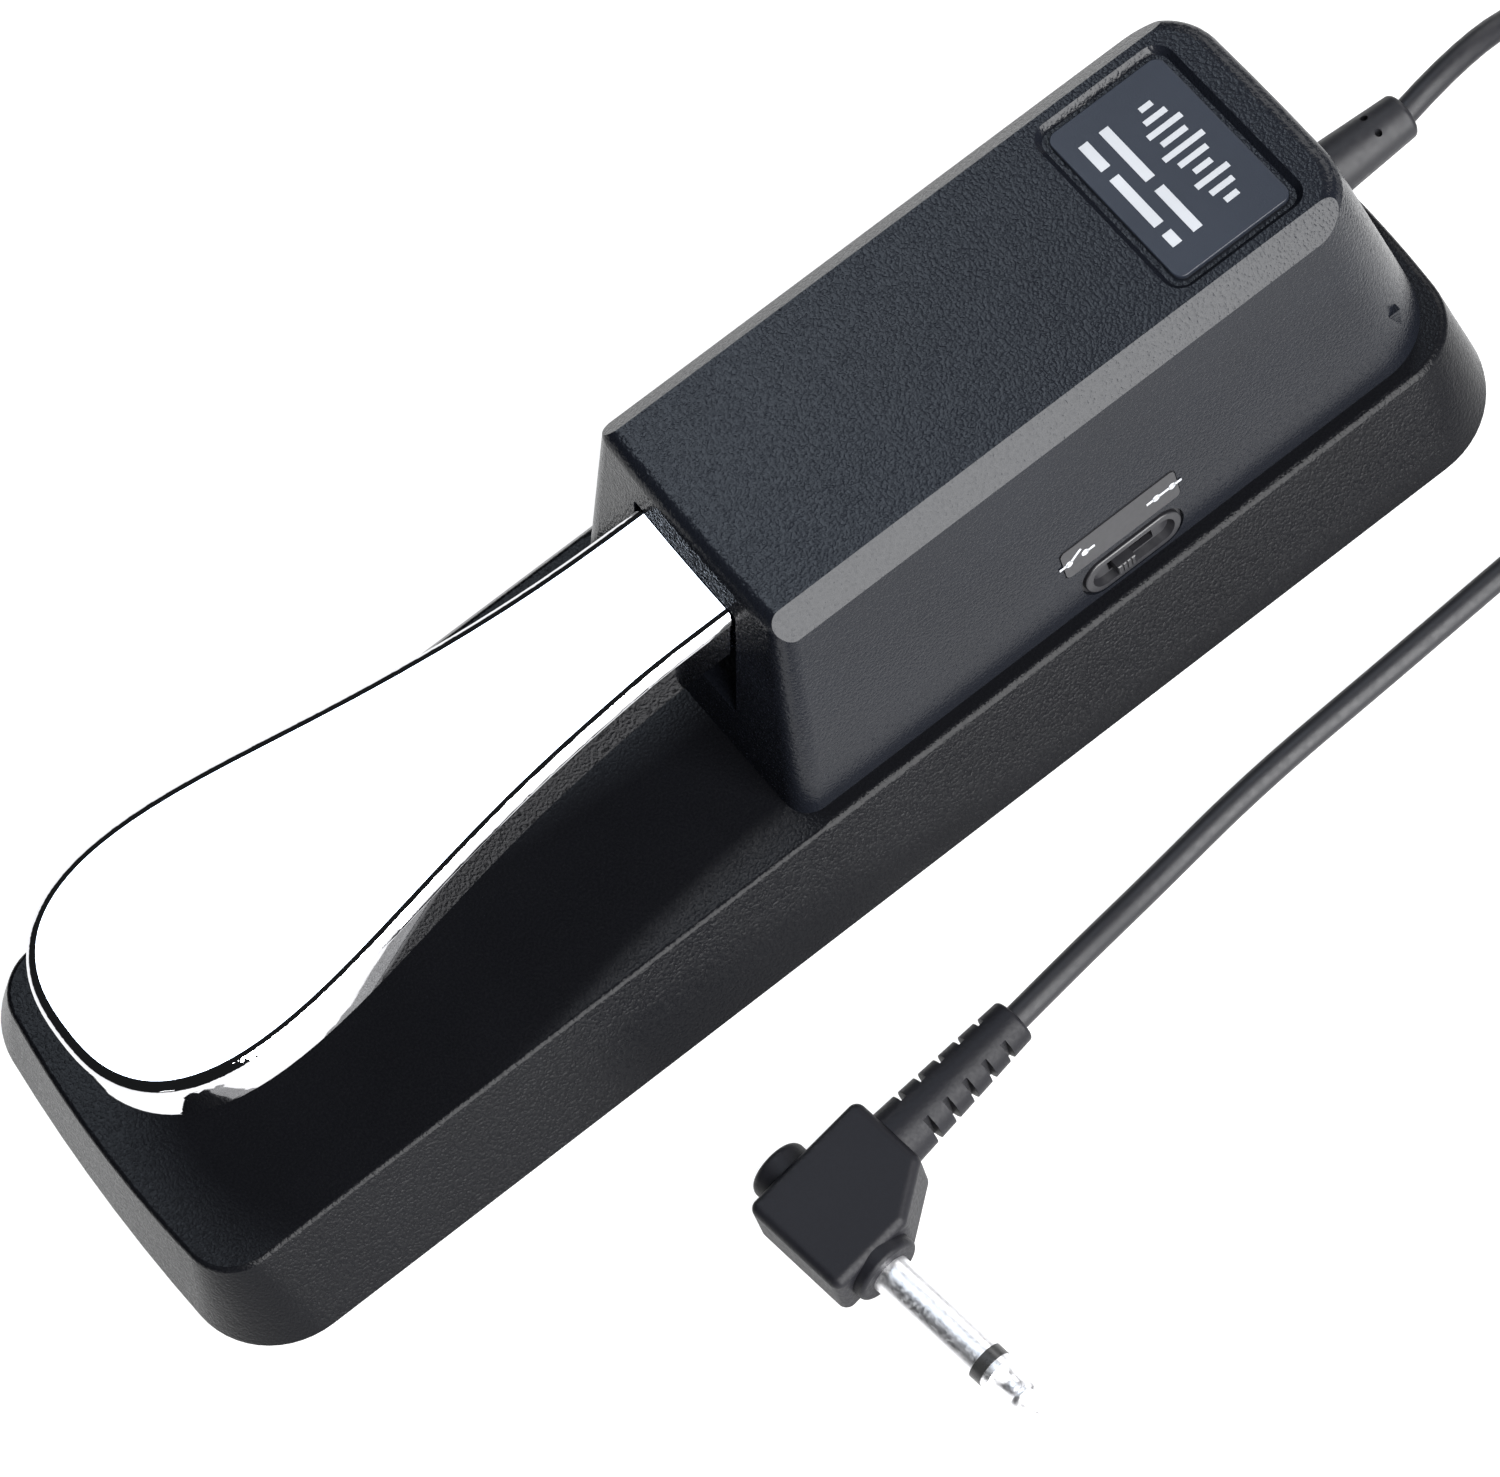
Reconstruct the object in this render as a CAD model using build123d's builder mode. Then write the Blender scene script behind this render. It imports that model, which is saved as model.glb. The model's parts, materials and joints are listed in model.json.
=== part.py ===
from build123d import *
import math
import os

os.makedirs("parts", exist_ok=True)

# Sustain pedal. Millimetres. The origin is on the floor under the middle of the base.
# -Y is the toe end, +Y the cord end, +X the side with the polarity switch, +Z up.

# ---------------------------------------------------------------- driving dimensions
BASE_LENGTH = 246.4
BASE_WIDTH = 80.0
RIM_HEIGHT = 0.6  # the rubber mat lifts the rim of the base off the floor
DECK_HEIGHT = 16.7  # top of the base in front of the housing
HOUSING_HEIGHT = 61.0
WALL = 2.6

SIDE_DRAFT = 8.5  # how far the base's sides lean in between rim and deck
FRONT_DRAFT = 4.1
REAR_DRAFT = 2.9
END_BOW = 2.4  # the ends of the base bow outward by this much
LEDGE_RADIUS = 1.4  # soft edge of the base beside the housing
DECK_EDGE_RADIUS = 0.9

FOOT_HALF_WIDTH = 28.8  # housing where it meets the deck
FOOT_FRONT = -8.3
FOOT_REAR = 117.3
TOP_HALF_WIDTH = 22.4  # housing at its full height, before its long edges are bevelled
TOP_FRONT = 0.3
TOP_REAR = 107.8
BROW_RADIUS = 3.0  # rounding along the housing's front top edge
BEVEL_WIDTH = 3.2
BEVEL_DROP = 3.4

LEVER_TOP = 52.6
LEVER_BOTTOM = 45.0  # underside of the bar inside the housing
SKIRT_BOTTOM = 43.4  # lower edge of the lever's sides, outside the housing
SKIRT_END = 16.0
LEVER_EDGE_RADIUS = 1.8
STEM_HALF_WIDTH = 11.8
TOE_FRONT = -113.5
LEVER_TAIL = 74.0
PIVOT_Y = 55.0
PIVOT_Z = 41.0
PIN_RADIUS = 2.5
RUNNING_CLEARANCE = 0.05

PLATE_BOTTOM = 1.6
PLATE_TOP = 3.6
SPRING_Y = 28.0
SPRING_SEAT_Z = 16.0
SPRING_TOP_Z = 44.0

SWITCH_Y = 55.7  # middle of the polarity switch
SWITCH_Z = 21.3
SLIDE_TRAVEL = 4.0

CORD_DIAMETER = 4.2
RELIEF_Z = 26.5
RELIEF_END = 131.5
COIL_CENTRE = (29.5, 190.0)
COIL_RADIUS = 23.0  # middle of the turns
COIL_BAND = 17.0
COIL_HEIGHT = 13.4

PLUG_RADIUS = 3.175
PLUG_ORIGIN = (75.0, -41.0, 6.2)
PLUG_TURN = 7.7  # degrees between the barrel and the X axis
BOOT_END = 40.0  # from the barrel's axis to the end of the cord boot

DECK_UNDERSIDE = DECK_HEIGHT - WALL
ROOF_UNDERSIDE = HOUSING_HEIGHT - WALL
BASE_FRONT = -BASE_LENGTH / 2
BASE_REAR = BASE_LENGTH / 2
HOUSING_RISE = HOUSING_HEIGHT - DECK_HEIGHT


def bowed_outline(half_width, front, rear, bow, front_radius, rear_radius):
    """Face with straight sides, ends bowed outward and rounded corners."""
    with BuildSketch() as outline:
        with BuildLine():
            ThreePointArc((-half_width, front + bow), (0, front), (half_width, front + bow))
            Line((half_width, front + bow), (half_width, rear - bow))
            ThreePointArc((half_width, rear - bow), (0, rear), (-half_width, rear - bow))
            Line((-half_width, rear - bow), (-half_width, front + bow))
        make_face()
        fillet(outline.vertices().group_by(Axis.Y)[0], front_radius)
        fillet(outline.vertices().sort_by(Axis.Y)[-2:], rear_radius)
    return outline.sketch


def base_outline(height, inset):
    """The base's outline at a height, moved inward by inset."""
    rise = (height - RIM_HEIGHT) / (DECK_HEIGHT - RIM_HEIGHT)
    return bowed_outline(
        BASE_WIDTH / 2 - SIDE_DRAFT * rise - inset,
        BASE_FRONT + FRONT_DRAFT * rise + inset,
        BASE_REAR - REAR_DRAFT * rise - inset,
        END_BOW,
        15.0 - 7.0 * rise - inset * 0.8,
        17.0 - 5.0 * rise - inset * 0.8,
    )


def housing_outline(height, inset):
    """The housing's outline at a height, moved inward by inset."""
    rise = (height - DECK_HEIGHT) / HOUSING_RISE
    return bowed_outline(
        FOOT_HALF_WIDTH - (FOOT_HALF_WIDTH - TOP_HALF_WIDTH) * rise - inset,
        FOOT_FRONT + (TOP_FRONT - FOOT_FRONT) * rise + inset,
        FOOT_REAR - (FOOT_REAR - TOP_REAR) * rise - inset,
        0.5,
        4.2 - 0.8 * rise - inset * 0.8,
        13.0 - 3.0 * rise - inset * 0.8,
    )


def wall_x(height):
    """Outer face of the housing's side wall at a height."""
    rise = (height - DECK_HEIGHT) / HOUSING_RISE
    return FOOT_HALF_WIDTH - (FOOT_HALF_WIDTH - TOP_HALF_WIDTH) * rise


WALL_LEAN = math.atan((FOOT_HALF_WIDTH - TOP_HALF_WIDTH) / HOUSING_RISE)


def wall_plane(y, z, outward=0.0):
    """Plane on the right wall, its x along +Y, its y up the wall, its z outward."""
    normal = Vector(math.cos(WALL_LEAN), 0, math.sin(WALL_LEAN))
    origin = Vector(wall_x(z), y, z) + normal * outward
    return Plane(origin=origin, x_dir=(0, 1, 0), z_dir=normal)


# ---------------------------------------------------------------- base shell
with BuildPart() as soft_edged_base:
    with BuildSketch(Plane.XY.offset(RIM_HEIGHT)):
        add(base_outline(RIM_HEIGHT, 0))
    with BuildSketch(Plane.XY.offset(DECK_HEIGHT)):
        add(base_outline(DECK_HEIGHT, 0))
    loft(ruled=True)
    fillet(soft_edged_base.faces().sort_by(Axis.Z)[-1].edges(), LEDGE_RADIUS)
    split(bisect_by=Plane.XZ.offset(-FOOT_FRONT - 3.0), keep=Keep.BOTTOM)

PLATE_SCREWS = [(x, y) for y in (-96.0, -36.0) for x in (-25.0, 25.0)]
PLATE_SCREWS += [(x, y) for y in (22.0, 100.0) for x in (-28.5, 28.5)]
HOUSING_SCREWS = [(x, y) for y in (3.0, 108.0) for x in (-17.0, 17.0)]
BUMPER_Y = 4.5
STOP_BLOCK_TOP = 36.0

with BuildPart() as base_shell:
    with BuildSketch(Plane.XY.offset(RIM_HEIGHT)):
        add(base_outline(RIM_HEIGHT, 0))
    with BuildSketch(Plane.XY.offset(DECK_HEIGHT)):
        add(base_outline(DECK_HEIGHT, 0))
    loft(ruled=True)
    fillet(base_shell.faces().sort_by(Axis.Z)[-1].edges(), DECK_EDGE_RADIUS)
    split(bisect_by=Plane.XZ.offset(-FOOT_FRONT - 3.0), keep=Keep.TOP)
    add(soft_edged_base.part)
    with BuildSketch(Plane.XY.offset(RIM_HEIGHT)):
        add(base_outline(RIM_HEIGHT, WALL))
    with BuildSketch(Plane.XY.offset(DECK_UNDERSIDE)):
        add(base_outline(DECK_UNDERSIDE, WALL))
    loft(ruled=True, mode=Mode.SUBTRACT)
    # window under the housing, where the mechanism comes up from the bottom plate
    with BuildSketch(Plane.XY.offset(DECK_UNDERSIDE)):
        with Locations((0, 56)):
            RectangleRounded(40, 96, 4)
    extrude(amount=WALL, mode=Mode.SUBTRACT)
    # screw bosses for the bottom plate
    with BuildSketch(Plane.XY.offset(PLATE_TOP)):
        with Locations(*PLATE_SCREWS):
            Circle(3.6)
    extrude(amount=DECK_UNDERSIDE - PLATE_TOP + 0.5)
    with Locations(*[(x, y, PLATE_TOP + 4.5) for x, y in PLATE_SCREWS]):
        Cylinder(1.25, 9.0, mode=Mode.SUBTRACT)
    # two long stiffening ribs under the front deck
    with BuildSketch(Plane.XY.offset(PLATE_TOP + 1.0)):
        with Locations((-12, -62), (12, -62)):
            Rectangle(1.6, 96)
    extrude(amount=DECK_UNDERSIDE - PLATE_TOP - 0.5)
    # clearance holes for the screws that hold the housing
    with Locations(*[(x, y, DECK_UNDERSIDE) for x, y in HOUSING_SCREWS]):
        Cylinder(1.7, 8.0, mode=Mode.SUBTRACT)
base_shell.part.label = "base_shell"
export_step(base_shell.part, "parts/base_shell.step")

# ---------------------------------------------------------------- bottom plate and mat
with BuildPart() as bottom_plate:
    with BuildSketch(Plane.XY.offset(PLATE_BOTTOM)):
        add(base_outline(PLATE_TOP, WALL + 0.6))
    extrude(amount=PLATE_TOP - PLATE_BOTTOM)
    with Locations(*[(x, y, PLATE_BOTTOM) for x, y in PLATE_SCREWS]):
        Cylinder(1.7, 8.0, mode=Mode.SUBTRACT)
        Cone(3.2, 1.2, 2.0, align=(Align.CENTER, Align.CENTER, Align.MIN), mode=Mode.SUBTRACT)
    with Locations(*[(x, y, PLATE_TOP) for y in (20.0, 90.0) for x in (-20.0, 20.0)]):
        Cylinder(1.3, 8.0, mode=Mode.SUBTRACT)
bottom_plate.part.label = "bottom_plate"
export_step(bottom_plate.part, "parts/bottom_plate.step")

with BuildPart() as rubber_mat:
    with BuildSketch():
        add(base_outline(PLATE_TOP, WALL + 2.2))
    extrude(amount=PLATE_BOTTOM)
    # grip grooves across the sole
    with BuildSketch():
        with GridLocations(0, 12, 1, 18):
            Rectangle(52, 1.6)
    extrude(amount=0.7, mode=Mode.SUBTRACT)
    with Locations(*[(x, y, 0) for x, y in PLATE_SCREWS]):
        Cylinder(4.2, 8.0, mode=Mode.SUBTRACT)
rubber_mat.part.label = "rubber_mat"
export_step(rubber_mat.part, "parts/rubber_mat.step")

# ---------------------------------------------------------------- housing
OPENING_HALF_WIDTH = 12.5
OPENING_TOP = 53.3
OPENING_BOTTOM = 27.0
STOP_RIB_BOTTOM = 55.8
LABEL_Y = 89.0
LABEL_SIZE = (32.6, 22.4)
STOP_FELT_Y = 6.6

with BuildPart() as housing_shell:
    with BuildSketch(Plane.XY.offset(DECK_HEIGHT)):
        add(housing_outline(DECK_HEIGHT, 0))
    with BuildSketch(Plane.XY.offset(HOUSING_HEIGHT)):
        add(housing_outline(HOUSING_HEIGHT, 0))
    loft(ruled=True)
    roof_edges = housing_shell.faces().sort_by(Axis.Z)[-1].edges()
    fillet(roof_edges.sort_by(Axis.Y)[0], BROW_RADIUS)
    # bevels along the two long top edges
    with BuildSketch(Plane.XZ.offset(-FOOT_REAR - 5)) as bevels:
        with BuildLine():
            Polyline(
                (TOP_HALF_WIDTH - BEVEL_WIDTH, HOUSING_HEIGHT),
                (TOP_HALF_WIDTH + 4 * BEVEL_WIDTH, HOUSING_HEIGHT),
                (TOP_HALF_WIDTH + 4 * BEVEL_WIDTH, HOUSING_HEIGHT - 5 * BEVEL_DROP),
                close=True,
            )
        make_face()
        mirror(about=Plane.YZ)
    extrude(amount=FOOT_REAR - FOOT_FRONT + 10, mode=Mode.SUBTRACT)
    # inside of the shell
    with BuildSketch(Plane.XY.offset(DECK_HEIGHT)):
        add(housing_outline(DECK_HEIGHT, WALL))
    with BuildSketch(Plane.XY.offset(ROOF_UNDERSIDE - 1.0)):
        add(housing_outline(ROOF_UNDERSIDE, WALL + 0.6))
    loft(ruled=True, mode=Mode.SUBTRACT)
    # opening for the lever
    with BuildSketch(Plane.XZ.offset(-TOP_FRONT - 6)):
        with Locations((0, (OPENING_TOP + OPENING_BOTTOM) / 2)):
            RectangleRounded(2 * OPENING_HALF_WIDTH, OPENING_TOP - OPENING_BOTTOM, 0.8)
    extrude(amount=20, mode=Mode.SUBTRACT)
    # rib that carries the felt rest stop
    with BuildSketch(Plane.XY.offset(STOP_RIB_BOTTOM)):
        with Locations((0, STOP_FELT_Y)):
            Rectangle(22, 3.0)
    extrude(amount=ROOF_UNDERSIDE - STOP_RIB_BOTTOM)
    # recess for the label plate, with a sloping lip
    with BuildSketch(Plane.XY.offset(HOUSING_HEIGHT)):
        with Locations((0, LABEL_Y)):
            RectangleRounded(LABEL_SIZE[0] + 2.6, LABEL_SIZE[1] + 2.6, 3.2)
    extrude(amount=-1.2, taper=40, mode=Mode.SUBTRACT)
    # bosses for the housing screws, up from the deck, each tied to its side wall by a rib
    with BuildSketch(Plane.XY.offset(DECK_HEIGHT)):
        with Locations(*HOUSING_SCREWS):
            Circle(3.4)
    extrude(amount=16.0)
    with BuildSketch(Plane.XY.offset(DECK_HEIGHT)):
        with Locations(*[(math.copysign(22.9, x), y) for x, y in HOUSING_SCREWS]):
            Rectangle(6.8, 2.0)
    extrude(amount=12.0)
    with Locations(*[(x, y, DECK_HEIGHT + 6) for x, y in HOUSING_SCREWS]):
        Cylinder(1.25, 12.0, mode=Mode.SUBTRACT)
    # hole for the strain relief through the rear wall
    with Locations(Plane.XZ.offset(-FOOT_REAR)):
        with Locations((0, RELIEF_Z)):
            Cylinder(4.75, 24, mode=Mode.SUBTRACT)
    # opening for the polarity switch's bezel through the right wall
    with BuildSketch(wall_plane(SWITCH_Y, SWITCH_Z, 2.0)):
        SlotOverall(19.2, 7.9)
    extrude(amount=-7.0, mode=Mode.SUBTRACT)
    # shallow bed for the switch label
    with BuildSketch(wall_plane(SWITCH_Y - 0.6, 29.6)):
        RectangleRounded(21.8, 6.9, 1.0)
    extrude(amount=-0.25, mode=Mode.SUBTRACT)
housing_shell.part.label = "housing_shell"
export_step(housing_shell.part, "parts/housing_shell.step")

with BuildPart() as label_plate:
    with BuildSketch(Plane.XY.offset(HOUSING_HEIGHT - 1.2)):
        with Locations((0, LABEL_Y)):
            RectangleRounded(LABEL_SIZE[0] - 1.2, LABEL_SIZE[1] - 1.2, 1.8)
    extrude(amount=0.9)
    fillet(label_plate.faces().sort_by(Axis.Z)[-1].edges(), 0.25)
label_plate.part.label = "label_plate"
export_step(label_plate.part, "parts/label_plate.step")

with BuildPart() as switch_label:
    with BuildSketch(wall_plane(SWITCH_Y - 0.6, 29.6, -0.25)):
        RectangleRounded(21.4, 6.5, 0.9)
    extrude(amount=0.4)
switch_label.part.label = "switch_label"
export_step(switch_label.part, "parts/switch_label.step")

# ---------------------------------------------------------------- stops
with BuildPart() as stop_block:
    with BuildSketch(Plane.XY.offset(DECK_HEIGHT)):
        with Locations((0, BUMPER_Y)):
            RectangleRounded(18, 6.4, 1.2)
    extrude(amount=STOP_BLOCK_TOP - DECK_HEIGHT)
stop_block.part.label = "stop_block"
export_step(stop_block.part, "parts/stop_block.step")

with BuildPart() as down_stop_bumper:
    with BuildSketch(Plane.XY.offset(STOP_BLOCK_TOP)):
        with Locations((0, BUMPER_Y)):
            RectangleRounded(16, 5.6, 1.4)
    extrude(amount=3.2)
    fillet(down_stop_bumper.faces().sort_by(Axis.Z)[-1].edges(), 1.0)
down_stop_bumper.part.label = "down_stop_bumper"
export_step(down_stop_bumper.part, "parts/down_stop_bumper.step")

with BuildPart() as rest_stop_felt:
    with BuildSketch(Plane.XY.offset(LEVER_TOP + 0.3)):
        with Locations((0, STOP_FELT_Y)):
            Rectangle(20, 5.0)
    extrude(amount=STOP_RIB_BOTTOM - LEVER_TOP - 0.3)
rest_stop_felt.part.label = "rest_stop_felt"
export_step(rest_stop_felt.part, "parts/rest_stop_felt.step")

# ---------------------------------------------------------------- pedal lever
EAR_INNER = 8.0
EAR_OUTER = 11.4
PUSHER_Y = 39.0
LEAF_TOP = 37.2

# right half of the lever's outline, from the toe back to the stem, as steps from the toe
TOE_CURVE = [
    (0, 0),
    (9.2, 1.2),
    (16.1, 5.6),
    (20.3, 13.2),
    (21.7, 23.0),
    (20.9, 35.0),
    (18.6, 48.5),
    (15.9, 63.0),
    (13.7, 78.0),
    (12.3, 93.0),
    (STEM_HALF_WIDTH, 113.0),
]
RIM_WALL = 2.8
LEVER_SKIN = 2.8  # thickness left over the hollow underside


def lever_points(inset):
    """Both sides of the lever's outline, left stem to toe to right stem, moved inward by inset."""
    right = [(0, TOE_FRONT + inset)]
    for before, here, after in zip(TOE_CURVE, TOE_CURVE[1:], TOE_CURVE[2:]):
        along = Vector(after[0] - before[0], after[1] - before[1]).normalized()
        right.append((here[0] - inset * along.Y, TOE_FRONT + here[1] + inset * along.X))
    return [(-x, y) for x, y in reversed(right[1:])] + right


with BuildPart() as pedal_lever:
    with BuildSketch(Plane.XY.offset(SKIRT_BOTTOM)):
        with BuildLine():
            stem_end = (STEM_HALF_WIDTH, TOE_FRONT + TOE_CURVE[-1][1])
            mirrored_end = (-stem_end[0], stem_end[1])
            Spline(mirrored_end, *lever_points(0), stem_end, tangents=[(0, -1), (0, 1)])
            Polyline(
                stem_end,
                (STEM_HALF_WIDTH, LEVER_TAIL),
                (-STEM_HALF_WIDTH, LEVER_TAIL),
                mirrored_end,
            )
        make_face()
    extrude(amount=LEVER_TOP - SKIRT_BOTTOM)
    lever_rim = pedal_lever.faces().sort_by(Axis.Z)[-1].edges().sort_by(Axis.Y)[:-1]
    fillet(lever_rim, LEVER_EDGE_RADIUS)
    # hollow underside of the casting, in front of the housing
    with BuildSketch(Plane.XY.offset(SKIRT_BOTTOM)):
        with BuildLine():
            rim_points = lever_points(RIM_WALL)
            Spline(*rim_points)
            Line(rim_points[-1], rim_points[0])
        make_face()
    extrude(amount=LEVER_TOP - LEVER_SKIN - SKIRT_BOTTOM, mode=Mode.SUBTRACT)
    # the underside steps up between the sides, and altogether behind the skirt
    with BuildSketch(Plane.XY.offset(SKIRT_BOTTOM)):
        with Locations((0, (rim_points[0][1] + SKIRT_END) / 2)):
            Rectangle(2 * (STEM_HALF_WIDTH - RIM_WALL), SKIRT_END - rim_points[0][1] + 4)
        with Locations((0, (LEVER_TAIL + SKIRT_END) / 2)):
            Rectangle(2 * STEM_HALF_WIDTH + 1, LEVER_TAIL - SKIRT_END + 1)
    extrude(amount=LEVER_BOTTOM - SKIRT_BOTTOM, mode=Mode.SUBTRACT)
    # ears that ride on the pivot pin
    for ear_side in (-EAR_OUTER, EAR_INNER):
        with BuildSketch(Plane.YZ.offset(ear_side)):
            with Locations((PIVOT_Y, PIVOT_Z)):
                Circle(5.4)
            with Locations((PIVOT_Y, (PIVOT_Z + LEVER_BOTTOM) / 2 + 0.3)):
                Rectangle(10.8, LEVER_BOTTOM - PIVOT_Z + 0.6)
        extrude(amount=EAR_OUTER - EAR_INNER)
    with Locations(Plane.YZ):
        with Locations((PIVOT_Y, PIVOT_Z)):
            Cylinder(PIN_RADIUS + RUNNING_CLEARANCE, 60, mode=Mode.SUBTRACT)
    # boss that centres the return spring
    with Locations((0, SPRING_Y, SPRING_TOP_Z)):
        Cylinder(6.0, 2.0, align=(Align.CENTER, Align.CENTER, Align.MIN))
    with Locations((0, SPRING_Y, SPRING_TOP_Z - 3.5)):
        Cylinder(2.6, 5.0, align=(Align.CENTER, Align.CENTER, Align.MIN))
    # finger that works the microswitch
    with Locations((0, PUSHER_Y, LEAF_TOP + 0.4)):
        Box(4.0, 2.4, LEVER_BOTTOM - LEAF_TOP, align=(Align.CENTER, Align.CENTER, Align.MIN))
pedal_lever.part.label = "pedal_lever"
export_step(pedal_lever.part, "parts/pedal_lever.step")

# ---------------------------------------------------------------- pivot
CHEEK_INNER = 12.6
CHEEK_THICKNESS = 1.6
BRACKET_TOP = PLATE_TOP + 2.0

with BuildPart() as pivot_bracket:
    with BuildSketch(Plane.XY.offset(PLATE_TOP)):
        with Locations((0, PIVOT_Y)):
            RectangleRounded(48, 84, 3)
    extrude(amount=2.0)
    with Locations(*[(x, y, PLATE_TOP) for y in (20.0, 90.0) for x in (-20.0, 20.0)]):
        Cylinder(1.7, 8.0, mode=Mode.SUBTRACT)
    for side in (-CHEEK_INNER - CHEEK_THICKNESS, CHEEK_INNER):
        with BuildSketch(Plane.YZ.offset(side)):
            with BuildLine():
                Polyline(
                    (PIVOT_Y - 16, PLATE_TOP),
                    (PIVOT_Y + 16, PLATE_TOP),
                    (PIVOT_Y + 7, PIVOT_Z),
                    (PIVOT_Y - 7, PIVOT_Z),
                    close=True,
                )
            make_face()
            with Locations((PIVOT_Y, PIVOT_Z)):
                Circle(7.0)
        extrude(amount=CHEEK_THICKNESS)
    with Locations(Plane.YZ):
        with Locations((PIVOT_Y, PIVOT_Z)):
            Cylinder(PIN_RADIUS + RUNNING_CLEARANCE, 60, mode=Mode.SUBTRACT)
pivot_bracket.part.label = "pivot_bracket"
export_step(pivot_bracket.part, "parts/pivot_bracket.step")

CLIP_GROOVE = 14.6
with BuildPart() as pivot_pin:
    with Locations(Plane.YZ):
        with Locations((PIVOT_Y, PIVOT_Z)):
            Cylinder(PIN_RADIUS, 33.0)
    chamfer(pivot_pin.edges().group_by(Axis.X)[0], 0.5)
    chamfer(pivot_pin.edges().group_by(Axis.X)[-1], 0.5)
    for side in (-CLIP_GROOVE, CLIP_GROOVE):
        with Locations(Plane.YZ.offset(side)):
            with Locations((PIVOT_Y, PIVOT_Z)):
                Cylinder(4, 0.8, mode=Mode.SUBTRACT)
                Cylinder(1.9, 0.8)
pivot_pin.part.label = "pivot_pin"
export_step(pivot_pin.part, "parts/pivot_pin.step")

with BuildPart() as pivot_clips:
    for side in (-CLIP_GROOVE, CLIP_GROOVE):
        with BuildSketch(Plane.YZ.offset(side)):
            with Locations((PIVOT_Y, PIVOT_Z)):
                Circle(4.2)
                Circle(1.92, mode=Mode.SUBTRACT)
            with Locations((PIVOT_Y, PIVOT_Z - 3.4)):
                Rectangle(2.6, 3.4, mode=Mode.SUBTRACT)
        extrude(amount=0.3, both=True)
pivot_clips.part.label = "pivot_clips"
export_step(pivot_clips.part, "parts/pivot_clips.step")

with BuildPart() as pivot_washers:
    for side in (-1, 1):
        with BuildSketch(Plane.YZ.offset(side * (EAR_OUTER + CHEEK_INNER) / 2)):
            with Locations((PIVOT_Y, PIVOT_Z)):
                Circle(3.7)
                Circle(PIN_RADIUS + RUNNING_CLEARANCE, mode=Mode.SUBTRACT)
        extrude(amount=(CHEEK_INNER - EAR_OUTER) / 2 - 0.1, both=True)
pivot_washers.part.label = "pivot_washers"
export_step(pivot_washers.part, "parts/pivot_washers.step")

# ---------------------------------------------------------------- return spring
SPRING_RADIUS = 4.1
SPRING_WIRE = 0.6

with BuildPart() as spring_seat:
    with Locations((0, SPRING_Y, BRACKET_TOP)):
        Cylinder(7.0, 2.0, align=(Align.CENTER, Align.CENTER, Align.MIN))
        Cylinder(5.6, SPRING_SEAT_Z - BRACKET_TOP, align=(Align.CENTER, Align.CENTER, Align.MIN))
    with Locations((0, SPRING_Y, SPRING_SEAT_Z)):
        Cylinder(2.6, 5.0, align=(Align.CENTER, Align.CENTER, Align.MIN))
    chamfer(spring_seat.faces().sort_by(Axis.Z)[-1].edges(), 0.7)
spring_seat.part.label = "spring_seat"
export_step(spring_seat.part, "parts/spring_seat.step")

SPRING_LENGTH = SPRING_TOP_Z - SPRING_SEAT_Z - 2 * SPRING_WIRE - 0.2
with BuildPart() as return_spring:
    with BuildLine(Plane((0, SPRING_Y, SPRING_SEAT_Z + SPRING_WIRE + 0.1))) as coil_line:
        Helix(pitch=SPRING_LENGTH / 7, height=SPRING_LENGTH, radius=SPRING_RADIUS)
    with BuildSketch(Plane(origin=coil_line.line @ 0, z_dir=coil_line.line % 0)):
        Circle(SPRING_WIRE)
    sweep(is_frenet=True)
return_spring.part.label = "return_spring"
export_step(return_spring.part, "parts/return_spring.step")

# ---------------------------------------------------------------- microswitch
MICRO_HALF = 3.2
MICRO_TOP = 34.6
MICRO_BOTTOM = 26.0
LEAF_HINGE_Y = 54.0
LEAF_HINGE_Z = 37.0
PLUNGER_Y = 50.0
MICRO_HOLES = [(41.0, 29.0), (51.0, 29.0)]

with BuildPart() as microswitch_body:
    with Locations((0, 46.5, (MICRO_TOP + MICRO_BOTTOM) / 2)):
        Box(2 * MICRO_HALF, 20.0, MICRO_TOP - MICRO_BOTTOM)
    chamfer(microswitch_body.edges().filter_by(Axis.X), 0.6)
    # two lugs that hold the leaf's pin
    with Locations(*[(side * (MICRO_HALF - 0.4), LEAF_HINGE_Y, MICRO_TOP) for side in (-1, 1)]):
        Box(0.8, 2.2, LEAF_HINGE_Z + 1 - MICRO_TOP, align=(Align.CENTER, Align.CENTER, Align.MIN))
    with Locations(Plane.YZ):
        with Locations((LEAF_HINGE_Y, LEAF_HINGE_Z)):
            Cylinder(0.6, 20, mode=Mode.SUBTRACT)
    with Locations((0, PLUNGER_Y, MICRO_TOP)):
        Cylinder(1.3, 6.0, mode=Mode.SUBTRACT)
    with Locations(Plane.YZ):
        with Locations(*MICRO_HOLES):
            Cylinder(1.15, 20, mode=Mode.SUBTRACT)
microswitch_body.part.label = "microswitch_body"
export_step(microswitch_body.part, "parts/microswitch_body.step")

with BuildPart() as switch_plunger:
    with Locations((0, PLUNGER_Y, MICRO_TOP - 2.2)):
        Cylinder(1.24, 4.2, align=(Align.CENTER, Align.CENTER, Align.MIN))
    fillet(switch_plunger.faces().sort_by(Axis.Z)[-1].edges(), 0.5)
switch_plunger.part.label = "switch_plunger"
export_step(switch_plunger.part, "parts/switch_plunger.step")

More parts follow.
